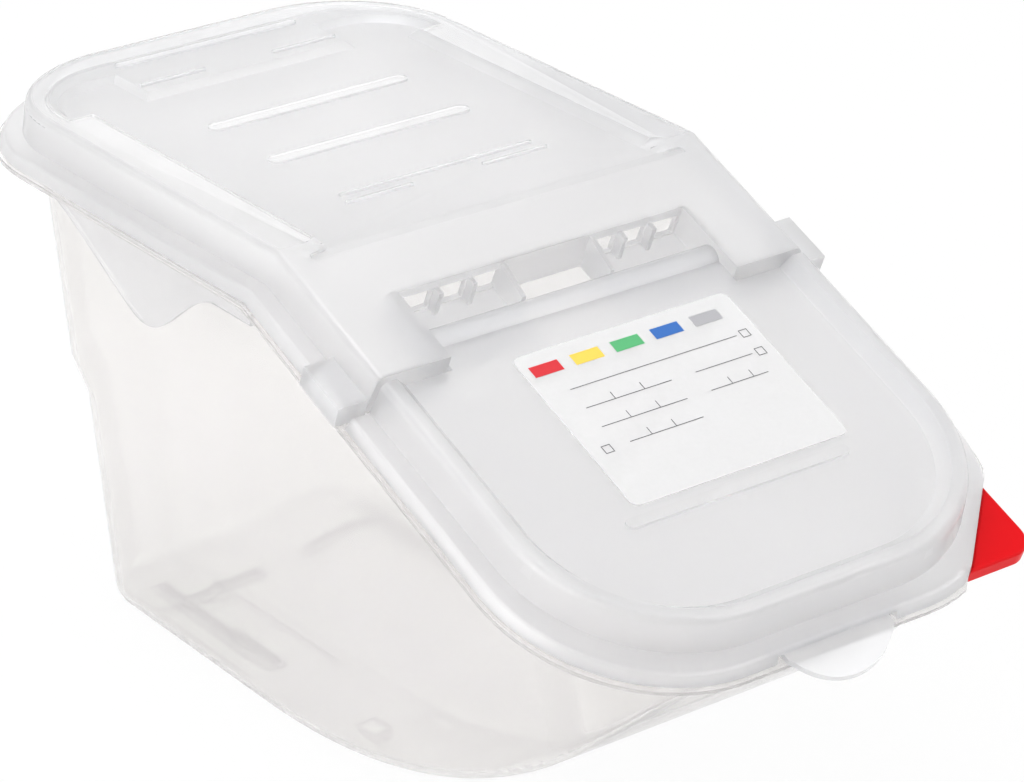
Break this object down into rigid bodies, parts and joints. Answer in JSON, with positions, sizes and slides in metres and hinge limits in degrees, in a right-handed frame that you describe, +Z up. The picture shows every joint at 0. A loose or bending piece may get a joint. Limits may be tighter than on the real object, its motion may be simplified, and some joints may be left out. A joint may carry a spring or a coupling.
{
  "type": "ingredient container",
  "caption": "Translucent food storage bin with a sloping front: fixed rear lid, hinged lift-up front flap, colour clip at the corner",
  "frame": {"origin": "on the ground plane under the feet, in the middle of the part's length and width", "axes": "x across the container, y towards the back (the front with the flap is at -y), z up"},
  "size_m": [0.2014, 0.3983, 0.2024],
  "materials": {
    "frosted_bin": "frosted translucent",
    "frosted_lid": "frosted translucent",
    "frosted_flap": "frosted translucent",
    "red_plastic": "gloss",
    "printed_film": "satin"
  },
  "bodies": {
    "bin": {"bin": "frosted_bin"},
    "lid": {"rear_lid": "frosted_lid"},
    "flap": {"front_flap": "frosted_flap", "label": "printed_film"},
    "clip": {"colour_clip": "red_plastic"}
  },
  "joints": [
    {"name": "lid_lift", "type": "slide", "parent": "bin", "child": "lid", "axis": [0, 0, 1], "range_m": [0, 0.12]},
    {"name": "flap_hinge", "type": "hinge", "parent": "lid", "child": "flap", "pos_m": [0, -0.05208, 0.17646], "axis": [-1, 0, 0], "range_deg": [0, 115]},
    {"name": "clip_slide", "type": "slide", "parent": "bin", "child": "clip", "axis": [0.7071, -0.6528, -0.2717], "range_m": [0, 0.016]}
  ]
}
